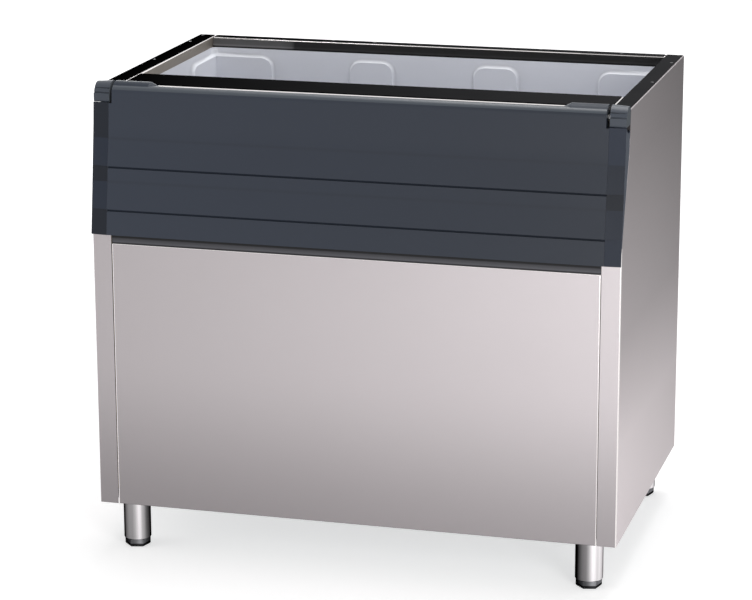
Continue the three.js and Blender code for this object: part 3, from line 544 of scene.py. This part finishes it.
def addPaintedRearShade(tree, shader, axes, rearAmounts):
    # painted reflection: darker towards the rear, by an amount at the floor and another at the rim
    low, high = rearAmounts
    rearShare = addSpan(tree, (axes, "Z"), paintedLightSpans["height"], To_Min=low, To_Max=high)
    backwards = addSpan(tree, (axes, "Y"), paintedLightSpans["depth"], To_Min=1.0)
    join(tree, rearShare, "Result", backwards, "To Max")
    scaleBase(tree, shader, backwards, "Result")


def addPaintedTubeReflection(tree, shader, place, around):
    # painted reflection: upright bands round a tube, from its left outline to its right one
    middleX, middleY = around["centre"]
    acrossX, acrossY = (part / around["radius"] for part in around["across"])
    centred = addNode(tree, "ShaderNodeMapping", Location=(-middleX, -middleY, 0.0))
    join(tree, place, "Object", centred, "Vector")
    across = addNode(tree, "ShaderNodeVectorMath", operation="DOT_PRODUCT")
    join(tree, centred, "Vector", across, 0)
    across.inputs[1].default_value = (acrossX, acrossY, 0.0)
    scaleBase(tree, shader, makeRamp(tree, (across, "Value"), around["tones"]), "Color")


def addTones(tree, shader, place, values):
    axes = addNode(tree, "ShaderNodeSeparateXYZ")
    join(tree, place, "Object", axes, "Vector")
    # painted reflection and shade over the piece's height and width
    if values.get("sheet"):
        addPaintedLight(tree, shader, place, values["sheet"])
    if values.get("climb"):
        scaleBase(tree, shader, makeRamp(tree, (axes, "Z"), values["climb"]), "Color")
    if values.get("along"):
        scaleBase(tree, shader, makeRamp(tree, (axes, "X"), values["along"]), "Color")
    if values.get("deep"):
        addPaintedRearShade(tree, shader, axes, values["deep"])
    if values.get("around"):
        addPaintedTubeReflection(tree, shader, place, values["around"])
    # painted shade of the door's end pieces, band by band
    if values.get("paintedBandShade"):
        band = addNode(tree, "ShaderNodeAttribute", attribute_name="paintedBandShade")
        scaleBase(tree, shader, band, "Fac")


def makeFinish(name, values):
    material = bpy.data.materials.new(name)
    material.use_nodes = True
    tree = material.node_tree
    shader = tree.nodes["Principled BSDF"]
    place = addNode(tree, "ShaderNodeTexCoord")
    shifted = addNode(tree, "ShaderNodeMapping", Location=surface["shift"])
    join(tree, place, "Object", shifted, "Vector")
    grain = addGroup(tree, grainGroup, (shifted, "Vector"))
    grain.inputs["Stretch"].default_value = values.get("stretch", (1, 1, 1))
    grain.inputs["Fineness"].default_value = values["fineness"]
    tone = addGroup(tree, toneGroup, (shifted, "Vector"))
    join(tree, grain, "Value", tone, "Grain")
    tone.inputs["Colour"].default_value = colourOf(*values["colour"])
    tone.inputs["Scale"].default_value = values["driftScale"]
    tone.inputs["Depth"].default_value = values["drift"]
    tone.inputs["Grain Depth"].default_value = values["grainDepth"]
    # rounded edges are lightened: partly wear, partly a painted highlight
    if values.get("edgeWearAndHighlight"):
        wornAndLitMark = addNode(tree, "ShaderNodeAttribute", attribute_name="wornAndLitEdge")
        join(tree, wornAndLitMark, "Fac", tone, "Edge")
        tone.inputs["Edge Wear And Highlight"].default_value = values["edgeWearAndHighlight"]
    join(tree, tone, "Colour", shader, "Base Color")
    addTones(tree, shader, place, values)
    smoothest = values["roughness"] - surface["roughSwing"]
    roughest = values["roughness"] + surface["roughSwing"]
    rough = addNode(tree, "ShaderNodeMapRange", To_Min=smoothest, To_Max=roughest)
    join(tree, grain, "Value", rough, "Value")
    join(tree, rough, "Result", shader, "Roughness")
    relief = addNode(tree, "ShaderNodeBump", Strength=values["bump"], Distance=surface["reliefHeight"])
    join(tree, grain, "Value", relief, "Height")
    join(tree, relief, "Normal", shader, "Normal")
    shader.inputs["Metallic"].default_value = values.get("metallic", 0.0)
    shader.inputs["Specular IOR Level"].default_value = values.get("specular", 0.5)
    tint = values.get("edgeTint", 1.0)
    shader.inputs["Specular Tint"].default_value = (tint, tint, tint, 1.0)
    if values.get("anisotropy"):
        shader.inputs["Anisotropic"].default_value = values["anisotropy"]
        shader.inputs["Anisotropic Rotation"].default_value = surface["brushTurn"]
        upright = addNode(tree, "ShaderNodeCombineXYZ", **surface["brushAxis"])
        join(tree, upright, "Vector", shader, "Tangent")
    return material


finish = {name: makeFinish(name, values) for name, values in finishes.items()}
print("stage: finishes made")

# Folds of the steel rim, in metres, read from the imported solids
rimFold = {
    "top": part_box("front_rail")[1][2] - 0.0005,
    "front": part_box("front_rail")[0][1],
    "rear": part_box("liner")[1][1] - 0.0035,  # less the tank's wall
    "side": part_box("liner")[1][0] - 0.0035,
    "low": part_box("liner")[1][2],
    "seat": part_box("front_panel")[1][2] + 0.02,
    "outer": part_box("right_side_panel")[1][0] - 0.004,
    "near": 0.002,
    "room": 0.004,
    "radius": 0.005,
    "segments": 6,
}

# Long upright corners of the sheets, and the outer upper corner of the hinge caps
uprightFold = {"room": 0.01, "plumb": 0.98, "length": 0.3}
capRound = {"room": 0.001, "from": 0.624, "low": 1.105, "radius": 0.0035, "segments": 4}

# Limits of the mesh work, in metres and degrees
meshWork = {
    "merge": 1e-5,
    "flat": 0.4,  # turn under which two faces become one
    "shortest": 1e-4,  # an edge shorter than this stays as it is
    "sharp": 28.0,  # turn from which an edge is rounded
    "probes": (0.12, 0.3, 0.5, 0.7, 0.88),  # shares of an edge at which a face's depth is tried
    "room": 1.7,  # how deep a face beside a rounding must be, in radii
    "smooth": 34.0,  # turn up to which faces are shaded as one
    "wide": 0.004,  # square metres from which a face of sheet is shaded flat
    "weight": 80,
}


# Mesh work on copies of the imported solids
def mergedCopy(node):
    bm = bmesh.new()
    bm.from_mesh(nodes[node].data)
    bmesh.ops.remove_doubles(bm, verts=bm.verts, dist=meshWork["merge"])
    flat = math.radians(meshWork["flat"])
    bmesh.ops.dissolve_limit(bm, angle_limit=flat, verts=bm.verts, edges=bm.edges)
    return bm


def reaches(face, edge, least):
    # whether a face is at least so deep, tried at a few places along one of its edges
    first, last = (vert.co for vert in edge.verts)
    inward = face.normal.cross(last - first).normalized() * least
    holds = bmesh.geometry.intersect_face_point
    places = [first.lerp(last, share) for share in meshWork["probes"]]
    return any(holds(face, place + inward * way) for place in places for way in (1, -1))


def sharpEdges(bm, least):
    # outer corners whose two faces both reach at least so far from them
    found = []
    for edge in bm.edges:
        if len(edge.link_faces) != 2 or edge.calc_length() < meshWork["shortest"]:
            continue
        sharp = edge.calc_face_angle_signed(0.0) >= math.radians(meshWork["sharp"])
        if sharp and all(reaches(face, edge, least) for face in edge.link_faces):
            found.append(edge)
    return found


def isNear(value, target):
    return abs(value - target) < rimFold["near"]


def rimBends(bm, node):
    # outer corners where the rim is folded down towards the door or into the tank's mouth
    found = []
    atSide = node.endswith("side_panel")
    for edge in sharpEdges(bm, rimFold["room"]):
        first, last = (vert.co for vert in edge.verts)
        run = last - first
        onTop = min(first.z, last.z) > rimFold["top"]
        along = abs(run.y if atSide else run.x) > 0.5 * edge.calc_length()
        if atSide:
            folded = isNear(abs(first.x), rimFold["side"])
        else:
            folded = isNear(first.y, rimFold["front"]) or isNear(first.y, rimFold["rear"])
        if onTop and along and folded:
            found.append(edge)
    return found


def uprightFolds(bm):
    # the long upright corners of a sheet, rounded on their own so that no small edge holds them back
    found = []
    for edge in sharpEdges(bm, uprightFold["room"]):
        first, last = (vert.co for vert in edge.verts)
        length = edge.calc_length()
        if abs(first.z - last.z) > uprightFold["plumb"] * length and length > uprightFold["length"]:
            found.append(edge)
    return found


def capCorner(bm):
    found = []
    for edge in sharpEdges(bm, capRound["room"]):
        ends = [vert.co for vert in edge.verts]
        outer = min(abs(end.x) for end in ends) > capRound["from"]
        if outer and min(end.z for end in ends) > capRound["low"]:
            found.append(edge)
    return found


def roundOff(bm, edges, radius, segments, clamp=True):
    # bevel the edges, and mark the new faces for the lighter edge tone, which is partly wear and partly a
    # painted highlight
    if not edges:
        return
    layer = bm.faces.layers.float.get("wornAndLitEdge") or bm.faces.layers.float.new("wornAndLitEdge")
    result = bmesh.ops.bevel(
        bm, geom=edges, offset=radius, offset_type="OFFSET", segments=segments, profile=0.5,
        affect="EDGES", clamp_overlap=clamp, material=-1,
    )
    for face in result["faces"]:
        face[layer] = 1.0


# Painted shade of the door's end pieces, band by band from the top
paintedBandShades = {"door_end_left": (0.6, 1.2, 0.52, 1.2, 0.55), "door_end_right": (1.2, 0.72, 0.42, 0.85, 1.05)}


def markShadedBands(bm, tones):
    # cut an end piece at the door's lines and give each band its painted shade
    for line in doorLines:
        whole = bm.verts[:] + bm.edges[:] + bm.faces[:]
        bmesh.ops.bisect_plane(
            bm, geom=whole, dist=meshWork["merge"], plane_co=(0, 0, line), plane_no=(0, 0, 1)
        )
    layer = bm.faces.layers.float.new("paintedBandShade")
    for face in bm.faces:
        height = face.calc_center_median().z
        face[layer] = tones[sum(height < line for line in doorLines)]


# Which way a face leans, as parts of its normal, and how far the finishes of single faces reach, in metres
lean = {"front": 0.1, "slant": (0.1, 0.99), "post": 0.3, "side": 0.7, "skirt": 0.995, "lip": 0.97,
        "rimEdge": (0.2, 0.98), "shoulder": (0.45, 0.97)}
reach = {"sideLip": 0.02, "rearLip": 0.01, "rimEdge": 0.003, "lowFold": 0.2, "groove": (-0.0055, 0.0003),
         "knuckleInner": 0.46, "knuckleLow": 1.095}


def within(value, span):
    return span[0] < value < span[1]


def foldsForward(normal, part):
    # a rounded fold between the front and the direction that the part is measured along
    return within(part, lean["slant"]) and normal.y < -lean["front"]


def isLowFold(normal, centre):
    return foldsForward(normal, -normal.z) and centre.z < reach["lowFold"]


def sidePanelFace(normal, centre):
    if centre.z > rimFold["low"] and abs(centre.x) < rimFold["side"] + reach["sideLip"]:
        return "skirt_steel_painted_reflection" if abs(normal.x) > lean["skirt"] else "rim_steel"
    high = abs(centre.x) > rimFold["outer"] and centre.z > rimFold["top"] - reach["rimEdge"]
    if high and within(normal.z, lean["rimEdge"]):
        return "rim_steel"
    if foldsForward(normal, abs(normal.x)) and centre.z < rimFold["seat"] and normal.x > 0:
        return "fold_steel_painted_highlight" if centre.x > 0 else "rim_steel"
    if isLowFold(normal, centre):
        return "shade_steel"
    if abs(normal.x) > lean["side"]:
        return "side_steel"
    return "post_steel_painted_shade" if normal.y < -lean["post"] else None


def frontPanelFace(normal, centre):
    bent = foldsForward(normal, abs(normal.x))
    if bent and normal.x > 0:
        return "fold_steel_painted_highlight"
    if isLowFold(normal, centre):
        return "shade_steel"
    return "rim_steel" if bent or foldsForward(normal, normal.z) else None


# the whole front rail takes the painted highlight copy of the steel
def frontRailFace(normal, centre):
    return "rim_steel"


def rearPanelFace(normal, centre):
    if centre.z > rimFold["low"] and centre.y < rimFold["rear"] + reach["rearLip"]:
        return "lip_painted_shade" if abs(normal.y) > lean["lip"] else "rim_steel"
    return None


def doorShellFace(normal, centre):
    if any(within(centre.z - lap, reach["groove"]) for lap in doorLines[1::2]):
        return "groove_painted_shade"
    if centre.z <= reach["knuckleLow"]:
        return None
    if abs(centre.x) > reach["knuckleInner"]:
        return "knuckle_plastic"
    return "shoulder_painted_light" if within(normal.z, lean["shoulder"]) else None


def hingeCapFace(normal, centre):
    return "cap_side" if abs(normal.x) > lean["side"] else None


def doorEndFace(normal, centre):
    return "end_side" if abs(normal.x) > lean["side"] else None


# Further finishes of a piece, in the order of its slots, and the function that picks one for a face
extraFinishes = {
    "side_panel": (sidePanelFace, [
        "side_steel", "rim_steel", "skirt_steel_painted_reflection", "shade_steel", "fold_steel_painted_highlight", "post_steel_painted_shade"]),
    "front_panel": (frontPanelFace, ["rim_steel", "shade_steel", "fold_steel_painted_highlight"]),
    "front_rail": (frontRailFace, ["rim_steel"]),
    "rear_panel": (rearPanelFace, ["rim_steel", "lip_painted_shade"]),
    "door_shell": (doorShellFace, ["groove_painted_shade", "shoulder_painted_light", "knuckle_plastic"]),
    "hinge_cap": (hingeCapFace, ["cap_side"]),
    "door_end": (doorEndFace, ["end_side"]),
}


def pickFinishes(bm, pick, names):
    for face in bm.faces:
        chosen = pick(face.normal, face.calc_center_median())
        face.material_index = names.index(chosen) + 1 if chosen else 0


def camelName(node):
    words = node.split("_")
    return words[0] + "".join(word.capitalize() for word in words[1:])


def addPiece(name, bm, replaced):
    mesh = bpy.data.meshes.new(name)
    bm.to_mesh(mesh)
    bm.free()
    mesh.materials.append(finish[slotOf[replaced[0]]])
    mesh.set_sharp_from_angle(angle=math.radians(meshWork["smooth"]))
    if slotOf[replaced[0]] == "brushed_steel":
        # wide sheets keep their own normal, so that they mirror evenly up to the edge
        mesh.polygons.foreach_set("use_smooth", [face.area < meshWork["wide"] for face in mesh.polygons])
    piece = bpy.data.objects.new(name, mesh)
    bpy.context.collection.objects.link(piece)
    weighted = piece.modifiers.new("evenNormals", "WEIGHTED_NORMAL")
    weighted.keep_sharp = True
    weighted.weight = meshWork["weight"]
    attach(piece, bodyOf[replaced[0]])
    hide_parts(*replaced)
    return piece


# Corner radius in metres and segments for each solid: first the wide folds, then the thin edges
sheetEdge = (0.00035, 1)
tapeEdge = (0.00035, 2)
mouldEdge = (0.0006, 2)
easing = {
    "left_side_panel": [(0.0026, 4), sheetEdge],
    "right_side_panel": [(0.0026, 4), sheetEdge],
    "front_panel": [(0.0024, 4), sheetEdge],
    "front_rail": [(0.0026, 4), sheetEdge],
    "rear_panel": [(0.0022, 4), sheetEdge],
    "base_panel": [(0.0022, 3), sheetEdge],
    "rim_seal_left": [tapeEdge],
    "rim_seal_right": [tapeEdge],
    "rim_seal_front": [tapeEdge],
    "rim_seal_rear": [tapeEdge],
    "liner": [(0.0014, 2)],
    "door_sill": [(0.0018, 3), (0.0005, 2)],
    "door_shell": [(0.0018, 3), mouldEdge],
    "door_inner_panel": [(0.0016, 2)],
    "door_end_left": [mouldEdge],
    "door_end_right": [mouldEdge],
    "hinge_cap_left": [(0.0005, 2)],
    "hinge_cap_right": [(0.0005, 2)],
    "drain_outlet": [mouldEdge],
    "drain_locknut": [mouldEdge],
}


def dressNode(node, steps):
    bm = mergedCopy(node)
    if slotOf[node] == "brushed_steel":
        roundOff(bm, rimBends(bm, node), rimFold["radius"], rimFold["segments"], clamp=False)
        roundOff(bm, uprightFolds(bm), *steps[0], clamp=False)
    if node.startswith("hinge_cap"):
        roundOff(bm, capCorner(bm), capRound["radius"], capRound["segments"])
    for radius, segments in steps:
        roundOff(bm, sharpEdges(bm, radius * meshWork["room"]), radius, segments)
    if node in paintedBandShades:
        markShadedBands(bm, paintedBandShades[node])
    kind = next((word for word in extraFinishes if word in node), None)
    pick, names = extraFinishes.get(kind, (None, []))
    if pick:
        pickFinishes(bm, pick, names)
    piece = addPiece(camelName(node), bm, [node])
    for name in names:
        piece.data.materials.append(finish[name])
    print("piece", node)


for node, steps in easing.items():
    dressNode(node, steps)
print("stage: pieces with rounded edges made")

# The other solids stay as they were packed and take their finish
for name, obj in nodes.items():
    if name not in easing:
        obj.data.materials.clear()
        obj.data.materials.append(finish.get(name, finish[slotOf[name]]))
print("stage: finishes put on the other solids")
